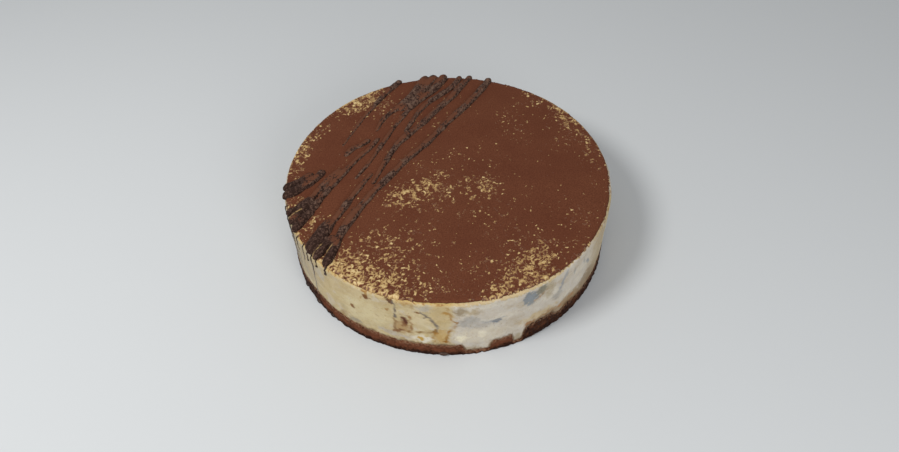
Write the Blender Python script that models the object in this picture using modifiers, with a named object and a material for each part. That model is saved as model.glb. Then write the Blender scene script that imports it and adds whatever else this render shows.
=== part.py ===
"""A round tiramisu cake: a coffee-soaked sponge base, a thick layer of mascarpone cream and a
cocoa-dusted top, crossed by strands of piped chocolate that droop over the rim.

Metres, +Z up. The origin is the centre of the flat underside, and -Y is the cake's front."""

import math
from typing import NamedTuple

import bmesh
import bpy
from mathutils import Vector, noise

MM = 0.001

# Driving dimensions
CAKE_RADIUS = 120.5 * MM  # the cream wall, under its rounded top edge
CAKE_HEIGHT = 58.6 * MM  # underside to cocoa surface
SPONGE_HEIGHT = 12.0 * MM  # usual height at which the sponge meets the cream
COCOA_THICKNESS = 1.2 * MM
COCOA_INSET = 1.7 * MM  # bare cream left round the cocoa
RIM_ROUNDING = 2.4 * MM  # the cream's top edge
GAP = 0.3 * MM  # between touching layers

# Relief of the wall
FACETS = 144  # round the cake
WALL_WOBBLE = 0.5 * MM  # slow waves of the cream wall
WALL_WAVES = 9  # round the cake
CRAG_DEPTH = 0.7 * MM  # crumbs of the sponge's side
CRAGS = 90  # round the cake
CRAG_HEIGHT = 2.5 * MM
SPONGE_STEP = 0.2 * MM  # how far the sponge stands out from the cream
SPONGE_FOOT = 0.7 * MM  # how much further its soaked foot spreads
FOOT_UNDERCUT = 0.4 * MM  # where the foot turns under
COCOA_RAGGEDNESS = 0.6 * MM  # of the cocoa's edge
COCOA_NICKS = 60  # round the cake
SEAM_WAVE = 1.3 * MM  # the wavy seam between sponge and cream
SEAM_WAVES = 26  # round the cake
SEAM_RINGS = [share * CAKE_RADIUS for share in (0.98, 0.89, 0.80)]  # it is level inside the last
MERGE = 0.00001

# Cake height levels that follow from the above
COCOA_BOTTOM = CAKE_HEIGHT - COCOA_THICKNESS
CREAM_TOP = COCOA_BOTTOM - GAP
CREAM_BOTTOM = SPONGE_HEIGHT + GAP

# Strands
STRAND_SPACING = 4.6 * MM  # between the points of a strand
STRAND_SINK = 0.08  # of the radius: how far its centre lies under the cocoa's surface
STRAND_HEIGHT = 3.8 * MM  # above the cocoa, at most: a thicker strand lies deeper
STRAND_LUMPS = 0.28  # share by which the radius swells and shrinks
LUMP_LENGTH = 9.0 * MM
RIM_BEND = 1.2  # of the radius: how wide a strand's centre bends over the rim
WALL_STANDOFF = 0.5  # of the radius: how far its centre hangs outside the wall
TIP_SHARE = 0.4  # of the radius, left at a strand's two ends


class SeamFeature(NamedTuple):
    """A place where the seam leaves its usual height: cream that ran down, or a high crumb."""

    angle: float  # degrees round from +X
    half_width: float  # degrees, to the middle of its two sides
    side: float  # degrees over which a side rises or falls
    rise: float  # mm, negative where the cream runs down


SEAM_FEATURES = (
    SeamFeature(-143.0, 7.0, 8.0, 2.5),
    SeamFeature(-89.0, 1.8, 3.0, -2.0),
    SeamFeature(-81.6, 4.6, 2.4, -8.0),
    SeamFeature(-67.6, 1.9, 1.2, -9.0),
    SeamFeature(-59.0, 5.6, 3.4, 3.6),
    SeamFeature(-51.0, 2.4, 3.0, -2.0),
    SeamFeature(-14.0, 5.0, 4.0, -4.5),
    SeamFeature(21.0, 2.6, 1.8, -8.0),
    SeamFeature(31.0, 5.0, 4.0, 3.5),
    SeamFeature(74.0, 6.0, 3.0, -5.5),
    SeamFeature(102.0, 4.0, 3.0, 3.5),
    SeamFeature(128.0, 2.2, 1.6, -8.0),
    SeamFeature(161.0, 6.0, 5.0, 3.0),
)


class Strand(NamedTuple):
    """A run of piped chocolate, seen from above. What runs past the rim turns down the wall."""

    start_radius: float  # mm
    end_radius: float  # mm
    route: tuple  # mm, back to front


STRANDS = (
    # the outermost strand, which thins out half way
    Strand(2.9, 0.9, ((-38, 115), (-48, 101), (-59, 81), (-68, 63), (-74, 48), (-81, 31))),
    # its thick end on the left
    Strand(2.8, 4.4, ((-92, 4), (-96, -3), (-103, -11), (-111, -18), (-119, -23))),
    Strand(2.2, 3.8, ((-100, 1), (-106, -5), (-113, -11), (-120, -15))),
    # the broad ridge: three strands side by side at the back
    Strand(4.0, 1.5, ((-16, 120), (-23, 105), (-30, 92), (-39, 78), (-50, 64), (-56, 48))),
    Strand(4.4, 2.4, ((-8, 121), (-15, 108), (-22, 94), (-30, 83), (-38, 73))),
    Strand(4.4, 2.2, ((0, 121), (-10, 101), (-20, 89), (-28, 79), (-37, 62))),
    Strand(2.0, 1.3, ((-35, 66), (-44, 47), (-52, 28), (-60, 9), (-68, -6))),
    Strand(2.3, 2.3, ((-60, 38), (-66, 32), (-73, 27), (-78, 19))),
    # the broad ridge further on, down to its blunt end at the left rim
    Strand(1.7, 3.2, ((-53, 40), (-60, 27), (-68, 16), (-81, -6), (-89, -21), (-97, -39))),
    Strand(3.2, 4.2, ((-95, -36), (-103, -50), (-107, -56))),
    Strand(2.4, 4.4, ((-79, 5), (-86, -5), (-93, -16), (-102, -35), (-107, -44), (-110, -49))),
    Strand(2.2, 3.2, ((-97, -23), (-103, -30), (-108, -36), (-114, -40))),
    # two strands that meet
    Strand(3.2, 1.7, ((13, 119), (6, 105), (-5, 93), (-15, 83), (-23, 70), (-28, 58), (-33, 46))),
    Strand(3.2, 2.8, ((22, 119), (15, 108), (4, 89), (-8, 73), (-21, 54), (-32, 41))),
    Strand(3.0, 1.7, ((-29, 44), (-37, 34), (-41, 26), (-49, 6), (-55, -12))),
    # the strand that ends in the big front clump
    Strand(1.8, 3.2, ((-56, 0), (-63, -13), (-69, -25), (-75, -38), (-80, -49))),
    Strand(3.4, 4.4, ((-79, -46), (-85, -59), (-90, -71), (-94, -76))),
    Strand(3.4, 4.4, ((-82, -46), (-87, -57), (-92, -69), (-96, -73))),
    Strand(2.6, 3.8, ((-78, -61), (-82, -68), (-86, -76), (-90, -81))),
    # the innermost strand
    Strand(3.0, 2.8, ((38, 115), (30, 100), (16, 78), (2, 59), (-16, 32), (-30, 15), (-44, -6), (-54, -20))),
    Strand(2.7, 3.2, ((-52, -17), (-62, -35), (-71, -54), (-76, -69), (-79, -80), (-82, -88))),
    Strand(1.8, 2.6, ((-65, -35), (-70, -47), (-74, -58), (-78, -70))),
)


def ring_noise(angle, lobes, row):
    """Smooth noise from -1 to 1 that closes on itself round the cake, with about this many lobes.
    Another row gives another noise."""
    reach = lobes / math.tau
    return noise.noise(Vector((reach * math.cos(angle), reach * math.sin(angle), row)))


def smoothstep(value, low, high):
    share = min(1.0, max(0.0, (value - low) / (high - low)))
    return share * share * (3.0 - 2.0 * share)


def seam_rise(angle):
    """How far the seam lies above its usual height at the wall."""
    rise = SEAM_WAVE * ring_noise(angle, SEAM_WAVES, 0.5)
    for feature in SEAM_FEATURES:
        away = abs((math.degrees(angle) - feature.angle + 180.0) % 360.0 - 180.0)
        low, high = feature.half_width - 0.5 * feature.side, feature.half_width + 0.5 * feature.side
        rise += feature.rise * MM * (1.0 - smoothstep(away, low, high))
    return rise


def seam_rise_at(x, y):
    """The same inside the cake, where it eases out to nothing."""
    return seam_rise(math.atan2(y, x)) * smoothstep(math.hypot(x, y), SEAM_RINGS[-1], SEAM_RINGS[0])


def wall_relief(x, y):
    """The slow waves of the wall, which fade out just inside it."""
    share = smoothstep(math.hypot(x, y), SEAM_RINGS[0], CAKE_RADIUS)
    return share * WALL_WOBBLE * ring_noise(math.atan2(y, x), WALL_WAVES, 3.5)


def material(name, colour, roughness):
    made = bpy.data.materials.new(name)
    made.use_nodes = True
    shader = made.node_tree.nodes["Principled BSDF"]
    shader.inputs["Base Color"].default_value = (*colour, 1.0)
    shader.inputs["Roughness"].default_value = roughness
    shader.inputs["Metallic"].default_value = 0.0
    return made


def bake_modifiers(obj):
    """Puts the evaluated mesh in place of the object's data and modifiers."""
    graph = bpy.context.evaluated_depsgraph_get()
    mesh = bpy.data.meshes.new_from_object(obj.evaluated_get(graph))
    obj.modifiers.clear()
    obj.data = mesh


def turned(name, profile, collection):
    """A solid of revolution. Its profile is (radius, height) pairs, listed down the outside."""
    mesh = bpy.data.meshes.new(name)
    mesh.from_pydata([(radius, 0.0, height) for radius, height in profile],
                     [(i, i + 1) for i in range(len(profile) - 1)], [])
    obj = bpy.data.objects.new(name, mesh)
    collection.objects.link(obj)
    screw = obj.modifiers.new("Turn", "SCREW")
    screw.steps = screw.render_steps = FACETS
    screw.use_merge_vertices = True
    screw.merge_threshold = MERGE
    bake_modifiers(obj)
    return obj


def set_diagonals(obj):
    """Splits every face along its shorter diagonal, so that facing layers split alike."""
    body = bmesh.new()
    body.from_mesh(obj.data)
    bmesh.ops.triangulate(body, faces=body.faces, quad_method="SHORT_EDGE")
    body.to_mesh(obj.data)
    body.free()


def push_out(vertex, distance):
    """Moves a vertex away from the cake's axis. One on the axis stays."""
    radius = math.hypot(vertex.co.x, vertex.co.y)
    if radius > MERGE:
        vertex.co.x *= 1.0 + distance / radius
        vertex.co.y *= 1.0 + distance / radius


def sponge_base(collection):
    """The soaked sponge: a level foot, a craggy side and a wavy top edge."""
    wall = CAKE_RADIUS + SPONGE_STEP
    foot = wall + SPONGE_FOOT
    heights = [SPONGE_HEIGHT * share for share in (0.8, 0.6, 0.4, 0.2)]
    profile = [(0.0, SPONGE_HEIGHT), *[(ring, SPONGE_HEIGHT) for ring in reversed(SEAM_RINGS)]]
    profile.append((wall, SPONGE_HEIGHT))
    profile += [(wall + (foot - wall) * (1.0 - height / SPONGE_HEIGHT), height) for height in heights]
    profile += [(foot - FOOT_UNDERCUT, 0.0), (0.0, 0.0)]
    obj = turned("sponge_base", profile, collection)
    for vertex in obj.data.vertices:
        x, y, z = vertex.co
        push_out(vertex, wall_relief(x, y))
        if math.hypot(x, y) > CAKE_RADIUS:
            push_out(vertex, CRAG_DEPTH * ring_noise(math.atan2(y, x), CRAGS, z / CRAG_HEIGHT))
        vertex.co.z *= 1.0 + seam_rise_at(x, y) / SPONGE_HEIGHT
    set_diagonals(obj)
    return obj


def cream_body(name, grow, collection):
    """The cream layer, or with grow above 0 the space that it and its clearance take up."""
    radius, top, bottom = CAKE_RADIUS + grow, CREAM_TOP + grow, CREAM_BOTTOM - grow
    profile = [(0.0, top), (radius - RIM_ROUNDING, top)]
    wall_top = top - RIM_ROUNDING
    for turn in (math.radians(degrees) for degrees in (60, 30, 0)):
        inset = RIM_ROUNDING * (1.0 - math.cos(turn))
        profile.append((radius - inset, wall_top + RIM_ROUNDING * math.sin(turn)))
    profile += [(radius, wall_top + (bottom - wall_top) * share) for share in (0.25, 0.5, 0.75, 1.0)]
    profile += [*[(ring, bottom) for ring in SEAM_RINGS], (0.0, bottom)]
    obj = turned(name, profile, collection)
    for vertex in obj.data.vertices:
        x, y, z = vertex.co
        push_out(vertex, wall_relief(x, y))
        vertex.co.z += seam_rise_at(x, y) * (top - z) / (top - bottom)
    set_diagonals(obj)
    return obj


def cocoa_disc(collection):
    """The cocoa layer before the strands join it. It reaches down into the space that is cut away."""
    radius = CAKE_RADIUS - COCOA_INSET
    bottom = COCOA_BOTTOM - COCOA_THICKNESS
    edge = 0.5 * COCOA_THICKNESS
    profile = [(0.0, CAKE_HEIGHT), (radius - edge, CAKE_HEIGHT), (radius, CAKE_HEIGHT - edge),
               (radius, bottom), (0.0, bottom)]
    obj = turned("cocoa_top", profile, collection)
    for vertex in obj.data.vertices:
        push_out(vertex, COCOA_RAGGEDNESS * ring_noise(math.atan2(vertex.co.y, vertex.co.x), COCOA_NICKS, 7.5))
    return obj


def smooth_route(points, spacing):
    """Points about this far apart on a Catmull-Rom curve through the given ones."""
    ends = [2 * points[0] - points[1], *points, 2 * points[-1] - points[-2]]
    route = []
    for before, here, there, after in zip(ends, ends[1:], ends[2:], ends[3:]):
        count = max(1, round((there - here).length / spacing))
        for step in range(count):
            t = step / count
            route.append(0.5 * (2 * here + (there - before) * t
                                + (2 * before - 5 * here + 4 * there - after) * t ** 2
                                + (3 * here - before - 3 * there + after) * t ** 3))
    return [*route, points[-1]]


def draped(point, radius):
    """The place of a strand's centre over this point of its flat route: on the cocoa, or down the wall."""
    reach = point.length
    level = CAKE_HEIGHT - max(STRAND_SINK * radius, radius - STRAND_HEIGHT)
    bend = RIM_BEND * radius
    bend_start = CAKE_RADIUS + WALL_STANDOFF * radius - bend
    overrun = reach - bend_start
    if overrun <= 0.0:
        return Vector((point.x, point.y, level))
    turn = min(overrun / bend, 0.5 * math.pi)
    outward = bend_start + bend * math.sin(turn)
    down = bend * (1.0 - math.cos(turn)) + overrun - turn * bend
    return Vector((point.x / reach * outward, point.y / reach * outward, level - down))


def strand_body(name, strand, collection):
    """One strand as a closed mesh: a lumpy tube with tapered ends."""
    flat = smooth_route([Vector((x * MM, y * MM)) for x, y in strand.route], STRAND_SPACING)
    curve = bpy.data.curves.new(name, "CURVE")
    curve.dimensions = "3D"
    curve.bevel_depth = 1.0 * MM
    curve.bevel_resolution = 2
    curve.use_fill_caps = True
    spline = curve.splines.new("POLY")
    spline.points.add(len(flat) - 1)
    for i, point in enumerate(flat):
        share = i / (len(flat) - 1)
        radius = (strand.start_radius + (strand.end_radius - strand.start_radius) * share) * MM
        radius *= 1.0 + STRAND_LUMPS * noise.noise(Vector((point.x, point.y, radius)) / LUMP_LENGTH)
        if i in (0, len(flat) - 1):
            radius *= TIP_SHARE
        spline.points[i].co = (*draped(point, radius), 1.0)
        spline.points[i].radius = radius / curve.bevel_depth
    tube = bpy.data.objects.new(name, curve)
    collection.objects.link(tube)
    graph = bpy.context.evaluated_depsgraph_get()
    mesh = bpy.data.meshes.new_from_object(tube.evaluated_get(graph))
    bpy.data.objects.remove(tube)
    body = bmesh.new()
    body.from_mesh(mesh)
    bmesh.ops.remove_doubles(body, verts=body.verts, dist=MERGE)
    bmesh.ops.recalc_face_normals(body, faces=body.faces)
    body.to_mesh(mesh)
    body.free()
    obj = bpy.data.objects.new(name, mesh)
    collection.objects.link(obj)
    return obj


def join_all(obj, collection):
    """Fuses every object of the collection to this one, and removes them."""
    boolean = obj.modifiers.new("Join", "BOOLEAN")
    boolean.operation = "UNION"
    boolean.solver = "EXACT"
    boolean.operand_type = "COLLECTION"
    boolean.collection = collection
    bake_modifiers(obj)
    for joined in list(collection.objects):
        bpy.data.objects.remove(joined)
    bpy.data.collections.remove(collection)


def cut_away(obj, cutter):
    """Takes the cutter's space out of the object. The exact solver loses the whole body here."""
    boolean = obj.modifiers.new("Cut", "BOOLEAN")
    boolean.operation = "DIFFERENCE"
    boolean.solver = "MANIFOLD"
    boolean.object = cutter
    bake_modifiers(obj)
    cutter.hide_render = True
    cutter.display_type = "WIRE"


def drop_scraps(obj):
    """Leaves only the largest connected body."""
    body = bmesh.new()
    body.from_mesh(obj.data)
    unseen = set(body.verts)
    islands = []
    while unseen:
        island, edge = set(), [unseen.pop()]
        while edge:
            vertex = edge.pop()
            island.add(vertex)
            near = {e.other_vert(vertex) for e in vertex.link_edges} & unseen
            unseen -= near
            edge.extend(near)
        islands.append(island)
    islands.sort(key=len)
    for island in islands[:-1]:
        bmesh.ops.delete(body, geom=list(island), context="VERTS")
    body.to_mesh(obj.data)
    body.free()


def cocoa_top(collection, helpers):
    """The cocoa layer with the strands joined to it, cut clear of the cream."""
    obj = cocoa_disc(collection)
    strands = bpy.data.collections.new("strands")
    bpy.context.scene.collection.children.link(strands)
    for number, strand in enumerate(STRANDS):
        strand_body(f"strand_{number}", strand, strands)
    join_all(obj, strands)
    cut_away(obj, cream_body("cream_clearance", GAP, helpers))
    drop_scraps(obj)
    return obj


def finish(obj, colour, roughness):
    obj.data.materials.clear()
    obj.data.materials.append(material(obj.name, colour, roughness))
    obj.data.shade_smooth()
    obj.data.set_sharp_from_angle(angle=math.radians(40))


def main():
    for obj in list(bpy.data.objects):
        bpy.data.objects.remove(obj)
    cake = bpy.data.collections.new("tiramisu_cake")
    helpers = bpy.data.collections.new("helpers")
    for collection in (cake, helpers):
        bpy.context.scene.collection.children.link(collection)
    finish(sponge_base(cake), (0.062, 0.022, 0.012), 0.6)
    finish(cream_body("mascarpone_cream", 0.0, cake), (0.52, 0.46, 0.32), 0.45)
    finish(cocoa_top(cake, helpers), (0.105, 0.038, 0.02), 0.95)


main()
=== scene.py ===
"""The looks of a round tiramisu cake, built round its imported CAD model.

Metres, +Z up. The origin is the centre of the cake's underside, and -Y is its front."""

import random
from math import cos, pi, radians, sin, sqrt, tau
from types import SimpleNamespace
from typing import NamedTuple

import bpy
import numpy as np
from mathutils import Matrix, Vector, noise


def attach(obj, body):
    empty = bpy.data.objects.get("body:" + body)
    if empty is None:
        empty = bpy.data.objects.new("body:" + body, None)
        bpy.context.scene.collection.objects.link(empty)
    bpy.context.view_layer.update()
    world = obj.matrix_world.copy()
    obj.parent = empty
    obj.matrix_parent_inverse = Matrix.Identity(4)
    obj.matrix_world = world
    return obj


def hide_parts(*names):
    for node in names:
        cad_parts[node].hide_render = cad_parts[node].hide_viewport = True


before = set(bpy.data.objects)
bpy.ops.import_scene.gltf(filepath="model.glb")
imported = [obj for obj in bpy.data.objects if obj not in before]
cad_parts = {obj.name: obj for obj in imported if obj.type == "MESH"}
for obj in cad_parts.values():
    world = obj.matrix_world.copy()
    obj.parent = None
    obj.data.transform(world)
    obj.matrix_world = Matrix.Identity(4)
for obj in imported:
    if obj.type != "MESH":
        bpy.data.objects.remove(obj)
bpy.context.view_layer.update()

MM = 0.001

# ---- sizes shared with the CAD model
CAKE_RADIUS = 120.5 * MM  # the cream wall
CAKE_HEIGHT = 58.6 * MM  # underside to cocoa surface
SPONGE_HEIGHT = 12 * MM  # the usual height of the seam above it
COCOA_THICKNESS = 1.2 * MM
COCOA_INSET = 1.7 * MM  # bare cream left round the cocoa
RIM_ROUNDING = 2.4 * MM  # the cream's top edge
GAP = 0.3 * MM  # between touching layers
WALL_WOBBLE = 0.5 * MM
WALL_WAVES = 9  # round the cake
WALL_ROW = 3.5  # of the ring noise
SPONGE_STEP = 0.2 * MM  # how far the sponge stands out from the cream
SPONGE_FOOT = 0.7 * MM  # how much further its soaked foot spreads
SEAM_WAVE = 1.3 * MM
SEAM_WAVES = 26
SEAM_ROW = 0.5
COCOA_RAGGEDNESS = 0.6 * MM
COCOA_NICKS = 60
NICK_ROW = 7.5
STRAND_SINK = 0.08  # of the radius: how far its centre lies in the cocoa
STRAND_HEIGHT = 3.8 * MM  # above the cocoa, at most: a thicker strand lies deeper
STRAND_LUMPS = 0.28  # share by which the radius swells and shrinks
LUMP_LENGTH = 9 * MM
RIM_BEND = 1.2  # of the radius: how wide a strand's centre bends over the rim
WALL_STANDOFF = 0.5  # of the radius: how far its centre hangs outside the wall
CREAM_TOP = CAKE_HEIGHT - COCOA_THICKNESS - GAP
CREAM_BOTTOM = SPONGE_HEIGHT + GAP
COCOA_EDGE = CAKE_RADIUS - COCOA_INSET

# ---- the photograph's camera
PHOTO_WIDTH = 899  # px
FOCAL_LENGTH = 665.15  # px
SENSOR_WIDTH = 36  # mm, Blender's default
CAMERA_ELEVATION = radians(47.76)
CAMERA_ROLL = radians(-1.26)
CAMERA_DISTANCE = 536.67 * MM
LOOK_AT = Vector((0.58, -1.52, 0)) * MM


class SeamFeature(NamedTuple):
    """A place where the seam between sponge and cream leaves its usual height."""

    angle: float  # degrees round from +X
    half_width: float  # degrees, to the middle of its two sides
    side: float  # degrees over which a side rises or falls
    rise: float  # mm, negative where the cream runs down


SEAM_FEATURES = [SeamFeature(*row) for row in (
    (-143, 7, 8, 2.5), (-89, 1.8, 3, -2), (-81.6, 4.6, 2.4, -8), (-67.6, 1.9, 1.2, -9),
    (-59, 5.6, 3.4, 3.6), (-51, 2.4, 3, -2), (-14, 5, 4, -4.5), (21, 2.6, 1.8, -8), (31, 5, 4, 3.5),
    (74, 6, 3, -5.5), (102, 4, 3, 3.5), (128, 2.2, 1.6, -8), (161, 6, 5, 3),
)]


class Strand(NamedTuple):
    """A run of piped chocolate, seen from above. What runs past the rim turns down the wall."""

    start_radius: float  # mm
    end_radius: float  # mm
    route: tuple  # mm, back to front


STRANDS = [Strand(*row) for row in (
    # the outermost strand, which thins out half way
    (2.9, 0.9, ((-38, 115), (-48, 101), (-59, 81), (-68, 63), (-74, 48), (-81, 31))),
    # its thick end on the left
    (2.8, 4.4, ((-92, 4), (-96, -3), (-103, -11), (-111, -18), (-119, -23))),
    (2.2, 3.8, ((-100, 1), (-106, -5), (-113, -11), (-120, -15))),
    # the broad ridge: three strands side by side at the back
    (4.0, 1.5, ((-16, 120), (-23, 105), (-30, 92), (-39, 78), (-50, 64), (-56, 48))),
    (4.4, 2.4, ((-8, 121), (-15, 108), (-22, 94), (-30, 83), (-38, 73))),
    (4.4, 2.2, ((0, 121), (-10, 101), (-20, 89), (-28, 79), (-37, 62))),
    (2.0, 1.3, ((-35, 66), (-44, 47), (-52, 28), (-60, 9), (-68, -6))),
    (2.3, 2.3, ((-60, 38), (-66, 32), (-73, 27), (-78, 19))),
    # the broad ridge further on, down to its blunt end at the left rim
    (1.7, 3.2, ((-53, 40), (-60, 27), (-68, 16), (-81, -6), (-89, -21), (-97, -39))),
    (3.2, 4.2, ((-95, -36), (-103, -50), (-107, -56))),
    (2.4, 4.4, ((-79, 5), (-86, -5), (-93, -16), (-102, -35), (-107, -44), (-110, -49))),
    (2.2, 3.2, ((-97, -23), (-103, -30), (-108, -36), (-114, -40))),
    # two strands that meet
    (3.2, 1.7, ((13, 119), (6, 105), (-5, 93), (-15, 83), (-23, 70), (-28, 58), (-33, 46))),
    (3.2, 2.8, ((22, 119), (15, 108), (4, 89), (-8, 73), (-21, 54), (-32, 41))),
    (3.0, 1.7, ((-29, 44), (-37, 34), (-41, 26), (-49, 6), (-55, -12))),
    # the strand that ends in the big front clump
    (1.8, 3.2, ((-56, 0), (-63, -13), (-69, -25), (-75, -38), (-80, -49))),
    (3.4, 4.4, ((-79, -46), (-85, -59), (-90, -71), (-94, -76))),
    (3.4, 4.4, ((-82, -46), (-87, -57), (-92, -69), (-96, -73))),
    (2.6, 3.8, ((-78, -61), (-82, -68), (-86, -76), (-90, -81))),
    # the innermost strand
    (3.0, 2.8,
     ((38, 115), (30, 100), (16, 78), (2, 59), (-16, 32), (-30, 15), (-44, -6), (-54, -20))),
    (2.7, 3.2, ((-52, -17), (-62, -35), (-71, -54), (-76, -69), (-79, -80), (-82, -88))),
    (1.8, 2.6, ((-65, -35), (-70, -47), (-74, -58), (-78, -70))),
)]


# ---- numbers and noise
def ease(value, low, high):
    """0 below low, 1 above high, and smooth between."""
    share = np.clip((value - low) / (high - low), 0, 1)
    return share * share * (3 - 2 * share)


def turn_from(degrees, angle):
    """How far round from this angle each of these lies, from -180 to 180 degrees."""
    return (degrees - angle + 180) % 360 - 180


def ring_angles(columns):
    """This many even angles round the cake."""
    return np.linspace(0, tau, columns, endpoint=False)


def ring_noise(angle, lobes, row):
    """Smooth noise from -1 to 1 round the cake, with about this many lobes. Each row is another noise."""
    reach = lobes / tau
    return noise.noise(Vector((reach * cos(angle), reach * sin(angle), row)))


def ring_noises(angles, lobes, row):
    """The same at each of these angles."""
    return np.array([ring_noise(angle, lobes, row) for angle in angles])


def field(points, size, seed=0):
    """Smooth noise of this size, from about -1 to 1, at each of n x 3 points."""
    shifted = points / size + np.array((seed, 0.37 * seed, 0.71 * seed))
    return np.array([noise.noise(Vector(point)) for point in shifted])


def rough_field(points, size, seed=0, octaves=3):
    """The same with finer noise on top."""
    total = np.zeros(len(points))
    for octave in range(octaves):
        total += 0.5 ** octave * field(points, size * 0.5 ** octave, seed + 11.3 * octave)
    return total


def seam_rise(angle):
    """How far the seam lies above its usual height, as in the CAD model."""
    rise = SEAM_WAVE * ring_noise(angle, SEAM_WAVES, SEAM_ROW)
    for feature in SEAM_FEATURES:
        away = abs(turn_from(np.degrees(angle), feature.angle))
        low, high = feature.half_width - 0.5 * feature.side, feature.half_width + 0.5 * feature.side
        rise += feature.rise * MM * (1 - ease(away, low, high))
    return rise


def distance_to_route(x, y, route):
    """How far each point lies from a line through the route's points."""
    nearest = np.full(len(x), np.inf)
    for (x0, y0), (x1, y1) in zip(route, route[1:]):
        dx, dy = x1 - x0, y1 - y0
        along = np.clip(((x - x0) * dx + (y - y0) * dy) / (dx ** 2 + dy ** 2), 0, 1)
        nearest = np.minimum(nearest, np.hypot(x - x0 - along * dx, y - y0 - along * dy))
    return nearest


def linear(code):
    """A hex colour as linear red, green and blue."""
    shares = [int(code[i:i + 2], 16) / 255 for i in (0, 2, 4)]
    return np.array([s / 12.92 if s < 0.04045 else ((s + 0.055) / 1.055) ** 2.4 for s in shares])


def blend(below, above, share):
    """Mixes colours, or n x 3 arrays of them, by an array of n shares."""
    share = np.clip(share, 0, 1)[:, None]
    return below * (1 - share) + above * share


# ---- meshes
def new_object(name, data):
    """An object in the scene."""
    obj = bpy.data.objects.new(name, data)
    bpy.context.scene.collection.objects.link(obj)
    return obj


def new_piece(name, points, faces, material):
    """A smooth-shaded mesh that is part of the cake."""
    mesh = bpy.data.meshes.new(name)
    mesh.from_pydata(np.asarray(points).tolist(), [], faces)
    mesh.materials.append(material)
    mesh.shade_smooth()
    obj = new_object(name, mesh)
    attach(obj, "root")
    return obj


def set_values(obj, name, values):
    """Stores one number per point, for the material to read."""
    attribute = obj.data.attributes.new(name, "FLOAT", "POINT")
    attribute.data.foreach_set("value", np.asarray(values, dtype=np.float32))


def set_colours(obj, name, colours):
    """The same with one linear colour per point."""
    attribute = obj.data.color_attributes.new(name, "FLOAT_COLOR", "POINT")
    rgba = np.ones((len(colours), 4), dtype=np.float32)
    rgba[:, :3] = colours
    attribute.data.foreach_set("color", rgba.ravel())


def round_faces(rings, columns):
    """The faces of a closed round body: rings of points from its top to its underside, then the centre
    point of each end."""
    faces = []
    for ring in range(rings - 1):
        for column in range(columns):
            here, after = ring * columns + column, ring * columns + (column + 1) % columns
            faces.append((here, here + columns, after + columns, after))
    top, last = rings * columns, (rings - 1) * columns
    for column in range(columns):
        after = (column + 1) % columns
        faces.append((top, column, after))
        faces.append((top + 1, last + after, last + column))
    return faces


def round_points(radii, heights, angles):
    """The points of a round body, from arrays of radius and height (ring by column)."""
    x = radii * np.cos(angles)
    y = radii * np.sin(angles)
    points = np.stack((x, y, heights), axis=-1).reshape(-1, 3)
    centres = [(0, 0, heights[0].mean()), (0, 0, heights[-1].mean())]
    return np.vstack((points, centres))


# ---- materials
MIX_FACTOR, MIX_FIRST, MIX_SECOND, MIX_RESULT = 0, 6, 7, 2  # the colour sockets of a mix node


def feed(made, inputs):
    """Sets a node's inputs, each to a number, a hex colour or another node's output."""
    for key, value in inputs.items():
        if isinstance(value, bpy.types.NodeSocket):
            made.id_data.links.new(value, made.inputs[key])
        else:
            made.inputs[key].default_value = (*linear(value), 1) if isinstance(value, str) else value


def node(tree, kind, inputs=None, **properties):
    """Adds a shader node with these inputs and properties."""
    made = tree.nodes.new(kind)
    for key, value in properties.items():
        setattr(made, key, value)
    feed(made, inputs or {})
    return made


def new_material(name, roughness, specular):
    """A material, its node tree and its shader."""
    made = bpy.data.materials.new(name)
    made.use_nodes = True
    shader = made.node_tree.nodes["Principled BSDF"]
    feed(shader, {"Roughness": roughness, "Specular IOR Level": specular})
    return made, made.node_tree, shader


def stored(tree, name, output="Fac"):
    """What is stored on the points under this name."""
    return node(tree, "ShaderNodeAttribute", attribute_name=name).outputs[output]


def grain(tree, size, detail=3, distortion=0):
    """Noise with grains of about this size in metres, from 0 to 1."""
    place = node(tree, "ShaderNodeTexCoord").outputs["Object"]
    inputs = {"Vector": place, "Scale": 1 / size, "Detail": detail, "Distortion": distortion}
    return node(tree, "ShaderNodeTexNoise", inputs).outputs["Fac"]


def ramp(factor, low, high, out_low=0, out_high=1):
    """Maps low..high to out_low..out_high, clamped."""
    inputs = {"Value": factor, "From Min": low, "From Max": high, "To Min": out_low, "To Max": out_high}
    return node(factor.id_data, "ShaderNodeMapRange", inputs).outputs["Result"]


def mix(factor, first, second, mode="MIX"):
    """Mixes two colours, each a hex code or an output."""
    inputs = {MIX_FACTOR: factor, MIX_FIRST: first, MIX_SECOND: second}
    made = node(factor.id_data, "ShaderNodeMix", inputs, data_type="RGBA", blend_type=mode)
    return made.outputs[MIX_RESULT]


def multiply(first, second):
    """The product of two outputs."""
    return node(first.id_data, "ShaderNodeMath", {0: first, 1: second}, operation="MULTIPLY").outputs[0]


def add(first, second):
    """The sum of two outputs."""
    return node(first.id_data, "ShaderNodeMath", {0: first, 1: second}, operation="ADD").outputs[0]


def bump(height, depth, below=None):
    """Bumps this deep, in metres. They may lie on other bumps."""
    inputs = {"Height": height, "Distance": depth, "Strength": 1}
    if below is not None:
        inputs["Normal"] = below
    return node(height.id_data, "ShaderNodeBump", inputs).outputs["Normal"]


def cocoa_material():
    """Dry cocoa powder: matt, fine-grained, in slightly uneven browns."""
    made, tree, shader = new_material("cocoa_powder", 0.95, 0.15)
    fine = grain(tree, 0.9 * MM, 4)
    cloudy = grain(tree, 22 * MM, 2)
    colour = mix(ramp(fine, 0.35, 0.7), "572f1e", "6d412c")
    colour = mix(ramp(cloudy, 0.35, 0.7, 0, 0.35), colour, "53291a")
    feed(shader, {"Base Color": colour, "Normal": bump(fine, 0.25 * MM)})
    return made


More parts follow.
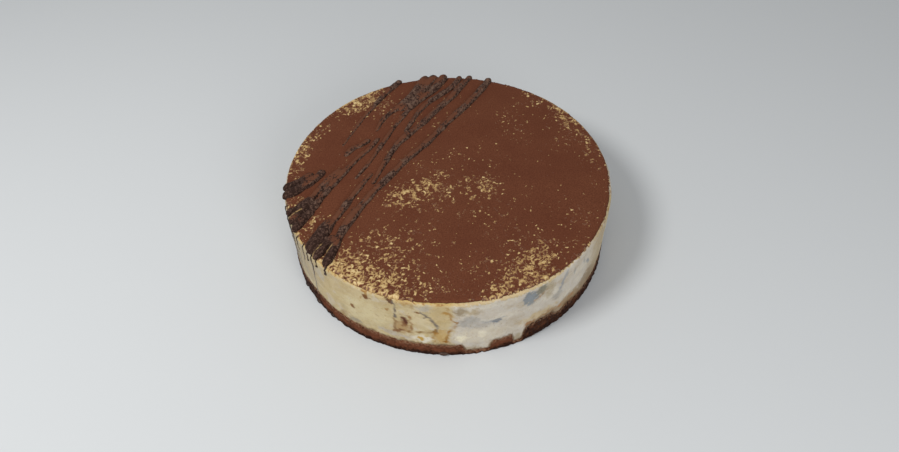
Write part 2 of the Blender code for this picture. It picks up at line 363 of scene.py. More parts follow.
def bare_cream_material():
    """Cream showing through the cocoa, dusty at its edges."""
    made, tree, shader = new_material("bare_cream", 0.55, 0.4)
    dust = grain(tree, 0.8 * MM, 3)
    level = add(stored(tree, "bare"), ramp(dust, 0.3, 0.7, -0.12, 0.12))
    colour = mix(ramp(level, 0.08, 0.44), "633b29", "a5834f")
    colour = mix(ramp(level, 0.38, 1.1), colour, "d4bd8a")
    feed(shader, {"Base Color": colour})
    return made


def cream_material():
    """Mascarpone cream: the stored marbling, with a fine mottle on top."""
    made, tree, shader = new_material("mascarpone", 0.55, 0.2)
    feed(shader, {"Subsurface Weight": 0.05, "Subsurface Radius": (3 * MM, 2 * MM, 1 * MM),
                  "Subsurface Scale": 1})
    mottle = grain(tree, 5 * MM, 5, 0.5)
    specks = grain(tree, 1.2 * MM, 2)
    mottled = ramp(mottle, 0.4, 0.7, 0, 0.4)
    colour = mix(mottled, stored(tree, "marbling", "Color"), "dfd3c4", "MULTIPLY")
    colour = mix(ramp(specks, 0.6, 0.75, 0, 0.5), colour, "c9a877", "MULTIPLY")
    pits = bump(grain(tree, 2.2 * MM, 3), 0.18 * MM)
    feed(shader, {"Base Color": colour, "Normal": bump(mottle, 0.5 * MM, pits)})
    return made


def sponge_material():
    """Soaked sponge: dark at the foot and on the sides away from the front left, brown above, with paler
    crumbs along its top edge. The dark is partly soaking and partly painted shade.
    """
    made, tree, shader = new_material("soaked_sponge", 0.6, 0.05)
    crumbs = grain(tree, 1.8 * MM, 4)
    blots = grain(tree, 6 * MM, 3)
    level = add(stored(tree, "dry_and_lit"), ramp(crumbs, 0.3, 0.7, -0.3, 0.3))
    level = add(level, ramp(blots, 0.35, 0.65, -0.35, 0.15))
    colour = mix(ramp(level, 0, 0.5), "27130c", "472919")
    colour = mix(ramp(level, 0.45, 1), colour, "633a28")
    colour = mix(multiply(stored(tree, "edge"), ramp(crumbs, 0.4, 0.6)), colour, "7d5e48")
    roughness = ramp(level, 0, 1, 0.55, 0.85)
    feed(shader, {"Base Color": colour, "Roughness": roughness, "Normal": bump(crumbs, 0.6 * MM)})
    return made


def chocolate_material():
    """Crumbly dark chocolate, grey-brown on its high grains, with cocoa dust on what lies flat. The dust
    leans to the sides facing the upper left as painted light, so the flanks facing right and front stay
    dark as painted shade.
    """
    made, tree, shader = new_material("piped_chocolate", 0.8, 0.15)
    fine = grain(tree, 0.7 * MM, 2)
    level = add(stored(tree, "high"), ramp(fine, 0.32, 0.68, -0.45, 0.45))
    colour = mix(ramp(level, 0, 0.5), "2b1a13", "49342c")
    colour = mix(ramp(level, 0.5, 1), colour, "6c5547")
    # real dust on what faces up, and painted light on what faces the upper left
    dust_and_lit_side = add(stored(tree, "dust_and_lit_side"), ramp(fine, 0.3, 0.7, -0.25, 0.25))
    colour = mix(ramp(dust_and_lit_side, 0.3, 0.7), colour, "613b29")
    colour = mix(stored(tree, "gap"), colour, "a88a5c")
    feed(shader, {"Base Color": colour, "Normal": bump(fine, 0.15 * MM)})
    return made


def syrup_material():
    """Dark syrup, with a painted grey highlight on the lower parts of its threads."""
    made, tree, shader = new_material("syrup", 0.4, 0.2)
    streaks = grain(tree, 5 * MM, 2)
    colour = mix(ramp(streaks, 0.35, 0.65), "24150e", "45332a")
    # painted highlight: grey on the lower parts of the threads
    colour = mix(stored(tree, "painted_highlight"), colour, "8b8279")
    feed(shader, {"Base Color": colour, "Normal": bump(grain(tree, 1.5 * MM), 0.1 * MM)})
    return made


# ---- sponge
SPONGE_COLUMNS = 1080
SPONGE_ROWS = 22  # down its wall
SPONGE_REACH = 14 * MM  # from the wall in to its innermost ring, above and below
LEDGE = 1.2 * MM  # the width of its top edge
EDGE_ROWS = slice(2, 6)  # the highest rows of its wall
UNDERCUT = 0.5 * MM  # where the foot turns under
JAG_HEIGHT = 0.7 * MM  # of the crumbs along its top edge
COARSE_JAGS, FINE_JAGS = 330, 620  # round the cake
CRUMB_SIZE, CRUMB_DEPTH = 3.2 * MM, 0.55 * MM
HOLE_SIZE, HOLE_DEPTH = 2 * MM, 0.7 * MM
DRIEST_LIT_ANGLE = -104  # degrees: where the sponge is lightest, partly as the driest part and partly as painted light
DRY_LIT_REACH = 32, 40  # degrees from there, over which it turns soaked and darker, partly as painted shade


def make_sponge():
    """The soaked sponge with its crumbs, pits and ragged top edge."""
    angles = ring_angles(SPONGE_COLUMNS)
    seam = SPONGE_HEIGHT + np.array([seam_rise(angle) for angle in angles])
    seam += JAG_HEIGHT * (ring_noises(angles, COARSE_JAGS, 8.5) + 0.6 * ring_noises(angles, FINE_JAGS, 9.5))
    wobble = WALL_WOBBLE * ring_noises(angles, WALL_WAVES, WALL_ROW)
    wall = np.linspace(1, 0, SPONGE_ROWS)
    shares = np.r_[1, 1, wall, 0][:, None]  # of the seam's height
    insets = np.r_[SPONGE_REACH, LEDGE, 0 * wall, SPONGE_REACH][:, None]
    heights = shares * seam
    radii = CAKE_RADIUS + SPONGE_STEP + wobble + SPONGE_FOOT * (1 - shares) - insets
    points = round_points(radii, heights, angles)[:-2]
    crumbs = CRUMB_DEPTH * rough_field(points, CRUMB_SIZE, 4)
    holes = -HOLE_DEPTH * ease(field(points, HOLE_SIZE, 9), 0.25, 0.6)
    relief = (crumbs + holes).reshape(heights.shape)
    relief[[0, -1]] = 0
    relief[-2] -= UNDERCUT
    radii += relief
    heights[EDGE_ROWS] += 0.4 * relief[EDGE_ROWS]
    heights[-2:] = 0
    # partly soaking and partly painted shade: the sponge darkens towards its foot and on the sides away
    # from the front left
    soaked = 0.65 * ease(abs(turn_from(np.degrees(angles), DRIEST_LIT_ANGLE)), *DRY_LIT_REACH)
    dry_and_lit = ease(heights / seam, 0.12, 0.5) * (1 - soaked)
    edge = ease(heights - seam, -4.5 * MM, -0.4 * MM)
    points = round_points(radii, heights, angles)
    obj = new_piece("sponge", points, round_faces(*heights.shape), sponge_material())
    set_values(obj, "dry_and_lit", np.r_[dry_and_lit.ravel(), 0.5, 0])
    set_values(obj, "edge", np.r_[edge.ravel(), 0, 0])
    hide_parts("sponge_base")


# ---- cream
CREAM_COLUMNS = 1080
RIM_ROWS = 12
WALL_ROWS = 66
LAST_RIM_TURN = 7.5  # degrees that the rim still has to turn where the wall's rows start
CREAM_TUCK = 1.2 * MM  # how far the wall reaches down behind the sponge's top edge
TOP_REACH, UNDER_REACH = 20 * MM, 10 * MM  # from the wall in to the innermost ring
WALL_TOP = CREAM_TOP - RIM_ROUNDING
DENT_SIZE, DENT_DEPTH = 14 * MM, 0.35 * MM
FINE_DENT_SIZE, FINE_DENT_DEPTH = 4 * MM, 0.12 * MM
MM_PER_DEGREE = radians(CAKE_RADIUS / MM)  # round the wall
WARM_CREAM = linear("b7a67e")
PALE_CREAM = linear("c5b794")
YELLOW_CREAM = linear("b5a077")
GREY_CREAM = linear("bfb8ac")
WHITE_CREAM = linear("cbc4b5")
# tan cream, also used as painted shade on the far right of the wall
TAN_AND_SHADED_CREAM = linear("ab9b80")
STREAK_CREAM = linear("8f8474")
SOAKED_CREAM = linear("6e583f")
TIDE_CREAM = linear("8f7553")
RIM_CREAM = linear("bda368")
RIM_DOTS = linear("8a5c34")


class Mark(NamedTuple):
    """A patch on the cream's wall."""

    angle: float  # degrees
    height: float  # mm
    half_width: float  # degrees
    half_height: float  # mm
    colour: str
    strength: float = 0.9
    softness: float = 0.4  # share of its size over which its edge fades
    lean: float = 0  # mm of rise for each mm round the wall


class Vein(NamedTuple):
    """A line on the cream's wall, through (degrees, mm) points."""

    half_width: float  # mm
    colour: str
    route: tuple
    strength: float = 0.9


MARKS = [Mark(*row) for row in (
    # the warm left part
    (-128, 49, 13, 9, "b5a27a", 0.6, 0.5), (-118, 32, 9, 14, "c3b691"),
    (-99, 38, 3.6, 8, "c5b795", 0.8), (-144, 38, 6, 18, "a69980", 0.7),
    # painted shade: the mark at -159 degrees darkens the far left of the wall to a grey olive
    (-159, 34, 9, 34, "8d8675", 0.6, 0.9), (-137, 45, 2.5, 6, "ada492", 0.8),
    (-117.3, 57, 0.9, 2.4, "8f6835", 0.95, 0.25), (-116.9, 54, 0.5, 2.4, "a07e45", 0.9, 0.25),
    (-116.7, 50.6, 1, 2.1, "6c451c", 1, 0.25), (-118.4, 48.4, 0.6, 1.4, "9f8353", 0.8, 0.3, 1),
    (-122.8, 33, 0.9, 2.6, "7a542b", 1, 0.3, -0.4), (-109.8, 44.5, 0.6, 1.9, "97743f", 0.9, 0.3),
    (-113.8, 34, 0.5, 1, "a38f6c", 0.7), (-126.5, 26, 1.6, 2.4, "ac9e7a", 0.7, 0.5),
    (-122.5, 16.5, 2.6, 2.4, "958c7a"), (-128, 16, 2, 3.4, "8f7448", 0.7, 0.5, 1),
    (-110.5, 19, 3.2, 2.6, "aba292"), (-106, 16.5, 3.6, 2, "b5ada0", 0.8, 0.5),
    # the brown patch, its dark core and what hangs from the rim above it
    (-109.2, 56, 1.3, 1.8, "5c3c22", 1, 0.25, -0.4), (-108.3, 53.6, 0.7, 1.7, "61432a", 1, 0.25),
    (-107.3, 46, 0.6, 2, "6c6052", 0.9, 0.3), (-105, 28, 2.7, 6.6, "a2855a", 0.9, 0.45),
    (-104.5, 36.4, 1.1, 4.2, "572c14", 1, 0.4, -0.5), (-105.2, 31, 0.7, 2.4, "7a5230", 0.9, 0.5),
    (-106.9, 22.6, 1.7, 1.5, "78502c", 1, 0.45, 0.3), (-104.2, 56, 1.7, 2.4, "a5854f", 0.75, 0.5),
    (-102, 53.6, 1, 2.2, "a08355", 0.75, 0.5),
    # what the loop holds and what lies under it
    (-100, 46.6, 0.9, 1.3, "7c5628", 1, 0.3), (-97.3, 42.2, 0.8, 1.2, "786753", 0.8),
    (-97.6, 53, 2.6, 3.4, "aaa294", 0.8, 0.5), (-99.2, 17.6, 3.4, 4.4, "d0cab8", 0.95, 0.35),
    (-99.7, 18.2, 1.1, 2, "b59247", 1, 0.3), (-97.6, 21.8, 0.8, 0.9, "bba671", 0.8, 0.3),
    # the yellow strip and the orange patch at its foot
    (-92.6, 45, 3.8, 13, "b9a57a", 0.8), (-91.6, 48.8, 0.9, 2.2, "a07835", 0.9, 0.5),
    (-87.9, 37.2, 0.6, 1.6, "785833", 1, 0.3), (-92.8, 22, 2.1, 7.4, "b0925c", 0.95, 0.3),
    (-92.4, 24, 0.8, 4, "baa06f", 0.7), (-94.7, 27.2, 0.8, 2, "946a2c", 1, 0.3),
    (-91.5, 15.9, 0.9, 1.6, "8c601c", 1, 0.3),
    # the grey right part
    (-86.7, 49.5, 2, 4.4, "94856c"), (-83.2, 48, 2.6, 2.8, "a69679", 0.8, 0.5),
    (-84.4, 38, 3.4, 5.4, "a39f98"), (-79.5, 33, 5, 4.6, "aca8a1", 0.7, 0.5),
    (-80, 21, 9, 7.4, "c6bead", 0.9, 0.35), (-86.8, 19.5, 1.8, 3.6, "dbd4bc", 1, 0.35),
    (-80, 21.6, 1.2, 3.8, "d8d1bd"), (-75.8, 34.3, 1.7, 2.5, "777d83", 0.95, 0.3),
    (-78.6, 34.4, 1.3, 1.1, "94949a", 0.8), (-73.4, 36.2, 1, 0.8, "94949a", 0.7),
    (-64.5, 47.6, 3, 6.2, "83898d", 1, 0.15), (-64.3, 41.4, 1.6, 2.8, "888d8f", 0.95, 0.25),
    (-60.3, 49.3, 2.1, 4.6, "7a7666", 0.95, 0.3), (-57, 46.5, 2, 8, "a5987d", 0.8, 0.5),
    (-51.6, 42, 1.3, 3.2, "8e9298", 0.85, 0.4, 1.2),
    (-50.2, 49, 0.9, 3.2, "94979b", 0.75, 0.4, 1.2), (-53, 33.5, 2.2, 3.2, "a3a19b", 0.8, 0.5),
    (-46, 45.5, 0.7, 2.6, "969590", 0.7, 0.4, -1), (-38, 42, 1.4, 2.6, "868c91", 0.9, 0.3, -0.6),
    (-41, 47, 0.7, 2.2, "979792", 0.7, 0.4, -1),
    # stains above the sponge on the right
    (-83.5, 6, 4, 2.6, "a3957d", 0.7, 0.6), (-77, 8, 0.9, 3, "8a7150", 0.7, 0.6),
    (-67.6, 5, 1.5, 5.5, "978a70", 0.8, 0.5), (-60.5, 22.6, 6.4, 3.8, "bda982", 0.8, 0.5),
    (-63.6, 17, 2, 2.6, "956b40", 0.95), (-57, 18.6, 4.2, 1.8, "a07c48", 0.85),
    (-46.5, 16.5, 7, 5.6, "978262"), (-51, 17, 1.5, 1.4, "a5713c", 0.85),
    (-45.5, 18.4, 1.6, 1, "a5713c", 0.7), (-36, 20, 6, 7.4, "8e7d64"),
)]
VEINS = [Vein(*row) for row in (
    (0.55, "6a6157", ((-107.8, 55), (-107.3, 50), (-107.2, 44), (-107.5, 38))),
    (0.8, "80603a", ((-107.6, 36), (-107.2, 33), (-107.9, 29), (-107.5, 26), (-108.2, 22.5))),
    (0.6, "8a6535", ((-103.3, 43), (-102.5, 39), (-103.1, 36), (-101.9, 33), (-102.3, 28), (-103.3, 24))),
    (0.75, "70675e", ((-99.2, 48.2), (-97.6, 45.6), (-96.2, 41), (-94.8, 36), (-94, 31), (-94.4, 28.5))),
    (0.8, "886838", ((-94.6, 29), (-95.6, 27), (-97.4, 25.6), (-100, 24.8), (-103, 24.2))),
    (0.7, "9a7236", ((-91.2, 54), (-90.3, 46), (-89.2, 41), (-88, 37), (-89.4, 31), (-90.6, 27)), 0.8),
    (0.8, "90661f", ((-90.6, 27), (-91.3, 22), (-90.8, 15))),
    (0.7, "9b7435", ((-95, 26), (-95.5, 20), (-94.8, 15)), 0.8),
    (0.5, "98724a", ((-63, 41.5), (-60.8, 44.2), (-58.4, 47)), 0.7),
    (0.45, "98958f", ((-80.5, 36), (-78, 34.8), (-74, 34.6)), 0.7),
)]
WALL_STREAKS = (-168, -165, -161, -158.5, -155, -151.5, -147)  # degrees
UNSEEN_START, UNSEEN_END = -24, 188  # degrees: the part of the wall that is marbled freely
UNSEEN_SPOTS = ("9f8150", "704a26", "ad8b50", "9f762f", "868c91")
UNSEEN_CLOUDS = ("b3a487", "a9a69e", "d0cab8", "9da2a5", "b39c6f")
UNSEEN_LINES = ("6a6157", "8c6a40", "98958f")
UNSEEN_MARKS, UNSEEN_VEINS = 90, 15
VEIN_POINTS = 5
GREY_FROM, GREY_TO = -91.5, -88  # degrees: where the warm cream gives way to the grey
SOAKED_FROM, SOAKED_TO = -66, -60  # degrees: where the tide mark starts
WIDE_RIM_ANGLE = -70  # degrees
PALE_RIM_ANGLE = -98  # degrees: away from here the rim's line fades


def unseen_marks():
    """Marks for the sides and the back: soft clouds, and twice as many small spots."""
    dice = random.Random(8)
    made = []
    for number in range(UNSEEN_MARKS):
        place = dice.uniform(UNSEEN_START, UNSEEN_END), dice.uniform(16, 56)
        shape = dice.uniform(1.4, 3.4), dice.uniform(-0.6, 0.6)
        if number % 3 == 0:
            size, softness, strength = dice.uniform(1.4, 3.4), 0.5, 0.75
            colour = UNSEEN_CLOUDS[number // 3 % len(UNSEEN_CLOUDS)]
        else:
            size, softness, strength = dice.uniform(0.4, 0.9), 0.35, 0.9
            colour = UNSEEN_SPOTS[number % len(UNSEEN_SPOTS)]
        made.append(Mark(*place, size, size * shape[0], colour, strength, softness, shape[1]))
    return made


def unseen_veins():
    """Bent lines for the sides and the back."""
    dice = random.Random(5)
    made = []
    for number in range(UNSEEN_VEINS):
        angle = UNSEEN_START + (number + 0.5) / UNSEEN_VEINS * (UNSEEN_END - UNSEEN_START)
        height = dice.uniform(40, 57)
        heading = dice.uniform(-1.2, 1.2)
        route = [(angle, height)]
        while len(route) < VEIN_POINTS:
            angle += 2.4 * sin(heading)
            height -= 5 * cos(heading)
            heading += dice.uniform(-0.8, 0.8)
            route.append((angle, height))
        colour = UNSEEN_LINES[number % len(UNSEEN_LINES)]
        made.append(Vein(dice.uniform(0.45, 0.65), colour, route))
    return made


def unroll(points):
    """The points' places on the unrolled wall, and the noise that bends and frays its marbling."""
    degrees = np.degrees(np.arctan2(points[:, 1], points[:, 0]))
    middle = 0.5 * (UNSEEN_START + UNSEEN_END)
    half = UNSEEN_END - middle
    return SimpleNamespace(
        degrees=degrees,
        up=points[:, 2] / MM,
        sideways=1.5 * field(points, 5 * MM, 3) + 1.1 * field(points, 2 * MM, 5),  # mm
        upwards=2 * field(points, 5 * MM, 13) + 1.4 * field(points, 2 * MM, 15),  # mm
        fray=0.35 * field(points, 2.6 * MM, 12) + 0.3 * field(points, 1.2 * MM, 16),
        speckle=field(points, 1.6 * MM, 36),
        unseen=1 - ease(abs(turn_from(degrees, middle)), half - 6, half),
    )


def cloud_layers(points, wall):
    """Grey cream on the right, clouds of paler and deeper cream, and painted shade in tan on the far right.
    """
    grey = ease(wall.degrees + wall.sideways, GREY_FROM, GREY_TO)
    grey *= ease(-wall.degrees, 24, 40)
    unseen_grey = ease(rough_field(points, 60 * MM, 21, 2), -0.05, 0.12)
    grey = np.maximum(grey, wall.unseen * unseen_grey)
    yield GREY_CREAM, grey
    clouds = rough_field(points * (1, 1, 1.6), 17 * MM, 8, 4)
    yield blend(PALE_CREAM, WHITE_CREAM, grey), 0.7 * ease(clouds, 0, 0.4)
    yield blend(YELLOW_CREAM, TAN_AND_SHADED_CREAM, grey), 0.45 * ease(-clouds, 0.1, 0.5)
    # painted shade: the wall from -40 to -24 degrees is tinted tan to darken it
    yield TAN_AND_SHADED_CREAM, 0.75 * ease(wall.degrees, -40, -30) * (wall.degrees < UNSEEN_START)
    yield GREY_CREAM, 0.5 * ease(rough_field(points, 7 * MM, 27), 0.1, 0.6)


def mark_layers(wall):
    """The patches."""
    for mark in (*MARKS, *unseen_marks()):
        across = turn_from(wall.degrees, mark.angle) * MM_PER_DEGREE + wall.sideways
        rise = wall.up - mark.height - mark.lean * across + wall.upwards
        distance = np.hypot(across / (mark.half_width * MM_PER_DEGREE), rise / mark.half_height) + wall.fray
        share = 1 - ease(distance, 1 - mark.softness, 1 + mark.softness)
        yield linear(mark.colour), mark.strength * share


def line_layers(points, wall):
    """The veins, which fade in places, and the upright streaks on the left."""
    patchy = 0.75 + 0.9 * field(points, 3.5 * MM, 33)
    for vein in (*VEINS, *unseen_veins()):
        start = vein.route[0][0]
        across = turn_from(wall.degrees, start) * MM_PER_DEGREE
        route = [((angle - start) * MM_PER_DEGREE, height) for angle, height in vein.route]
        distance = distance_to_route(across + wall.sideways, wall.up + 0.6 * wall.upwards, route)
        share = 1 - ease(distance, 0.5 * vein.half_width, 2 * vein.half_width)
        yield linear(vein.colour), vein.strength * share * patchy
    for angle in WALL_STREAKS:
        distance = abs(turn_from(wall.degrees, angle) * MM_PER_DEGREE + wall.sideways)
        share = (1 - ease(distance, 0.3, 1.4)) * ease(wall.up, 14, 30)
        yield STREAK_CREAM, 0.6 * share


def stain_layers(wall, seam):
    """What has soaked up from the sponge: a tide mark on the right, and a stain along the seam."""
    soaked = ease(wall.degrees + wall.sideways, SOAKED_FROM, SOAKED_TO) * (1 - wall.unseen)
    above_seam = wall.up - seam / MM + 0.3 * wall.upwards
    tide = 1 - ease(above_seam + 1.2 * wall.upwards + 2 * wall.speckle, 1, 7.5)
    yield TIDE_CREAM, 0.7 * soaked * tide
    yield SOAKED_CREAM, 0.85 * (1 - ease(above_seam + 1.8 * wall.speckle, 0.1, 2.4))


def rim_layers(wall):
    """The gold line along the rim, which is wider on the right, and the brown dots in it."""
    ragged = 0.3 * wall.upwards + wall.fray + 1.4 * wall.speckle
    wide = 1 - ease(abs(wall.degrees - WIDE_RIM_ANGLE), 12, 24)
    line = ease(wall.up + (0.7 + 0.6 * wide) * ragged, 56.1 - 2.1 * wide, 56.7 - 1 * wide)
    faded = ease(abs(turn_from(wall.degrees, PALE_RIM_ANGLE)), 48, 64)
    yield RIM_CREAM, (0.85 - 0.5 * faded - 0.2 * wide) * line
    dots = ease(ragged, 0.35, 0.8) * ease(wall.up, 55.4, 56.2) * (1 - wide)
    yield RIM_DOTS, 0.7 * dots


def marble(points, seam):
    """The cream's colours at these points. The seam below each lies at this height."""
    wall = unroll(points)
    colours = WARM_CREAM
    for layers in (cloud_layers(points, wall), mark_layers(wall), line_layers(points, wall),
                   stain_layers(wall, seam), rim_layers(wall)):
        for colour, share in layers:
            colours = blend(colours, colour, share)
    return colours


def cream_rings():
    """The cream's rings from its top down: how far in each lies, its height at the rim or at the top of the
    wall, and its share of the way down the wall."""
    turns = np.radians(np.linspace(90, LAST_RIM_TURN, RIM_ROWS))
    rim_insets = RIM_ROUNDING * (1 - np.cos(turns))
    rim_heights = WALL_TOP + RIM_ROUNDING * np.sin(turns)
    insets = np.r_[TOP_REACH, rim_insets, np.zeros(WALL_ROWS), UNDER_REACH]
    tops = np.r_[CREAM_TOP, rim_heights, np.full(WALL_ROWS + 1, WALL_TOP)]
    downs = np.r_[np.zeros(RIM_ROWS + 1), np.linspace(0, 1, WALL_ROWS), 1]
    return insets[:, None], tops[:, None], downs[:, None]


def make_cream():
    """The cream layer: a smooth wall with slow dents, a rounded rim and marbling."""
    angles = ring_angles(CREAM_COLUMNS)
    rise = np.array([seam_rise(angle) for angle in angles])
    insets, tops, downs = cream_rings()
    heights = tops + downs * (CREAM_BOTTOM + rise - CREAM_TUCK - WALL_TOP)
    radii = CAKE_RADIUS + WALL_WOBBLE * ring_noises(angles, WALL_WAVES, WALL_ROW) - insets
    points = round_points(radii, heights, angles)[:-2]
    dents = DENT_DEPTH * field(points, DENT_SIZE, 2) + FINE_DENT_DEPTH * field(points, FINE_DENT_SIZE, 6)
    dents = dents.reshape(heights.shape)
    dents[[0, -1]] = 0
    radii += dents
    heights[:RIM_ROWS + 1] += 0.3 * dents[:RIM_ROWS + 1]
    points = round_points(radii, heights, angles)
    highest_near = np.maximum.reduce([np.roll(rise, step) for step in (-1, 0, 1)])
    seam = np.r_[np.tile(SPONGE_HEIGHT + highest_near, len(heights)), 0, 0]
    obj = new_piece("cream", points, round_faces(*heights.shape), cream_material())
    set_colours(obj, "marbling", marble(points, seam))
    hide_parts("mascarpone_cream")


# ---- cocoa
COCOA_COLUMNS = 720
COCOA_RINGS = 84
FINE_NICKS = 420  # round the cake
FINE_NICK_DEPTH = 0.35 * MM
EDGE_PROFILE = np.array(((1.1, 0.1), (0.6, 0.4), (0.2, 0.9), (-0.1, 1.6))) * MM  # in from the edge, down
EDGE_REACH = 6 * MM  # how far in from the edge its nicks and its underside reach
NICKS_FULL = COCOA_EDGE - 1 * MM  # from here outwards
FLAT_START, FLAT_END = 1.5 * MM, COCOA_EDGE - 1.6 * MM


def cocoa_level(points):
    """How far the cocoa's surface lies above or below its mean level."""
    return 0.3 * MM * field(points, 32 * MM, 40) + 0.12 * MM * field(points, 7 * MM, 44)


def make_cocoa():
    """The cocoa layer: a thin slightly uneven sheet with a ragged edge."""
    angles = ring_angles(COCOA_COLUMNS)
    nicks = COCOA_RAGGEDNESS * ring_noises(angles, COCOA_NICKS, NICK_ROW)
    nicks += FINE_NICK_DEPTH * ring_noises(angles, FINE_NICKS, 2.5)
    flat = np.linspace(FLAT_START, FLAT_END, COCOA_RINGS)
    radii = np.r_[flat, COCOA_EDGE - EDGE_PROFILE[:, 0], COCOA_EDGE - EDGE_REACH]
    drops = np.r_[0 * flat, EDGE_PROFILE[:, 1], EDGE_PROFILE[-1, 1]]
    share = ease(radii, COCOA_EDGE - EDGE_REACH, NICKS_FULL)
    radii = radii[:, None] + share[:, None] * nicks
    heights = CAKE_HEIGHT - drops[:, None] + 0 * radii
    points = round_points(radii, heights, angles)
    skin = points[:-1]
    on_top = skin[:, 2] > CAKE_HEIGHT - 0.5 * COCOA_THICKNESS
    skin[:, 2] += np.where(on_top, cocoa_level(skin * (1, 1, 0)), 0)
    obj = new_piece("cocoa", points, round_faces(*radii.shape), cocoa_material())
    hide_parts("cocoa_top")


# ---- flecks
class Patch(NamedTuple):
    """An area of the top where more cream shows through, seen from above."""

    x: float  # mm
    y: float
    long: float  # half length in mm
    short: float  # half width
    cover: float  # share of cream at its middle
    turn: float = 0  # degrees of its long axis from +X


PATCHES = [Patch(*row) for row in (
    # back left
    (-72, 92, 28, 14, 0.68, 40), (-72, 74, 20, 10, 0.16, 30), (-52, 84, 12, 14, 0.16),
    # left rim
    (-101, 55, 9, 12, 0.18), (-112, 30, 20, 9, 0.42, 80), (-112, 5, 15, 8, 0.20, 90),
    (-108, -30, 9, 9, 0.32), (-97, -52, 15, 8, 0.30, 65),
    # front left, dense at the rim and thinning out inwards
    (-66, -95, 32, 16, 0.60, -30), (-42, -91, 30, 25, 0.19, -20), (-42, -68, 28, 14, 0.14, -5),
    (-30, -104, 18, 14, 0.19), (-9, -107, 12, 9, 0.16), (-10, -80, 14, 16, 0.06),
    # middle
    (-33, -27, 14, 12, 0.37), (-16, -16, 16, 11, 0.32, 35), (-3, -4, 10, 8, 0.18, 30),
    (22, -14, 14, 12, 0.30), (30, -22, 11, 14, 0.15), (-4, -24, 44, 22, 0.08),
    (-5, -54, 75, 34, 0.04), (0, 14, 44, 18, 0.07), (-30, 8, 10, 8, 0.07),
    (-48, 68, 14, 12, 0.09, 50), (-4, 64, 26, 14, 0.035, 45),
    # front right
    (52, -95, 24, 12, 0.52, 30), (28, -111, 14, 7, 0.36, 12), (53, -77, 24, 13, 0.16, 20),
    (84, -74, 12, 12, 0.12), (90, -50, 12, 11, 0.13), (29, -92, 14, 9, 0.12),
    (8, -100, 13, 14, 0.09), (32, -56, 18, 14, 0.07),
    # right rim
    (99, 66, 22, 11, 0.40, -58), (92, 56, 20, 14, 0.17, -60), (108, 36, 14, 8, 0.17, -70),
    (110, 14, 16, 9, 0.22, 90), (74, 88, 16, 9, 0.17, -45), (52, 52, 14, 14, 0.16),
    (63, 77, 16, 13, 0.06), (90, 30, 11, 11, 0.12), (112, -12, 14, 8, 0.10, 90),
)]
LEAST_COVER = 0.007
MOST_COVER = 0.75
FLECK_PITCH = 0.51 * MM  # of the grid that the flecks are made on
FLECK_RISE = 0.3 * MM  # above the cocoa, where they are bare
FLECK_DEPTH = 1 * MM
FLECK_MARGIN = 0.09  # of their level, which widens them by a dusty edge
FLECK_OVERRUN = 0.7 * MM  # past the cocoa's edge
FLECK_BEND_START = COCOA_EDGE - 1.05 * MM
FLECK_BEND = 1.6 * MM  # twice the radius by which they bend down there
SWAY_SIZE, SWAY = 1.8 * MM, 1 * MM  # how the strokes and spots are bent
STROKE_SIZE, SPOT_SIZE = 1.7 * MM, 1.6 * MM


def cream_cover(x, y):
    """The share of the top where cream shows through, round each point (in mm)."""
    cover = np.full(len(x), LEAST_COVER)
    for patch in PATCHES:
        turn = radians(patch.turn)
        along = (x - patch.x) * cos(turn) + (y - patch.y) * sin(turn)
        across = (y - patch.y) * cos(turn) - (x - patch.x) * sin(turn)
        distance = np.hypot(along / patch.long, across / patch.short)
        cover = cover + patch.cover * (1 - ease(distance, 0.2, 1.5))
    edge = COCOA_EDGE / MM
    cover = cover * (1 + ease(np.hypot(x, y), edge - 2, edge - 0.5))  # twice as much at the rim
    return np.minimum(cover, MOST_COVER)


def fleck_level(points):
    """Above 0 where cream shows through the cocoa, up to 1 where it is bare.
    Spots make up the thin parts, and branching strokes join them where more cream shows."""
    sway = np.c_[field(points, SWAY_SIZE, 51), field(points, SWAY_SIZE, 57), np.zeros(len(points))]
    bent = points + SWAY * sway
    strokes = 0.35 * field(bent, 3 * MM, 64) - abs(field(bent, STROKE_SIZE, 61))
    spots = 0.9 * field(bent, SPOT_SIZE, 71) + 0.35 * field(bent, 1.1 * MM, 73)
    spots += 0.25 * field(points, 6 * MM, 75)
    cover = cream_cover(points[:, 0] / MM, points[:, 1] / MM)
    # these thresholds, fitted by trial, leave about the wanted share of the two fields above them
    stroke_threshold = 0.215 - 0.625 * cover ** 0.586 + 0.03 * (1 - ease(cover, 0.04, 0.2))
    spot_threshold = 1.09 - 0.80 * cover ** 0.135
    return np.maximum(2 * (strokes - stroke_threshold), 3.2 * (spots - spot_threshold))


def island_walls(cells, count):
    """The faces that join the rims of the cells' top to its copy this many points further on."""
    edges = np.concatenate([cells[:, [i, (i + 1) % 4]] for i in range(4)])
    there = set(map(tuple, edges.tolist()))
    return [(b, a, a + count, b + count) for a, b in there if (b, a) not in there]


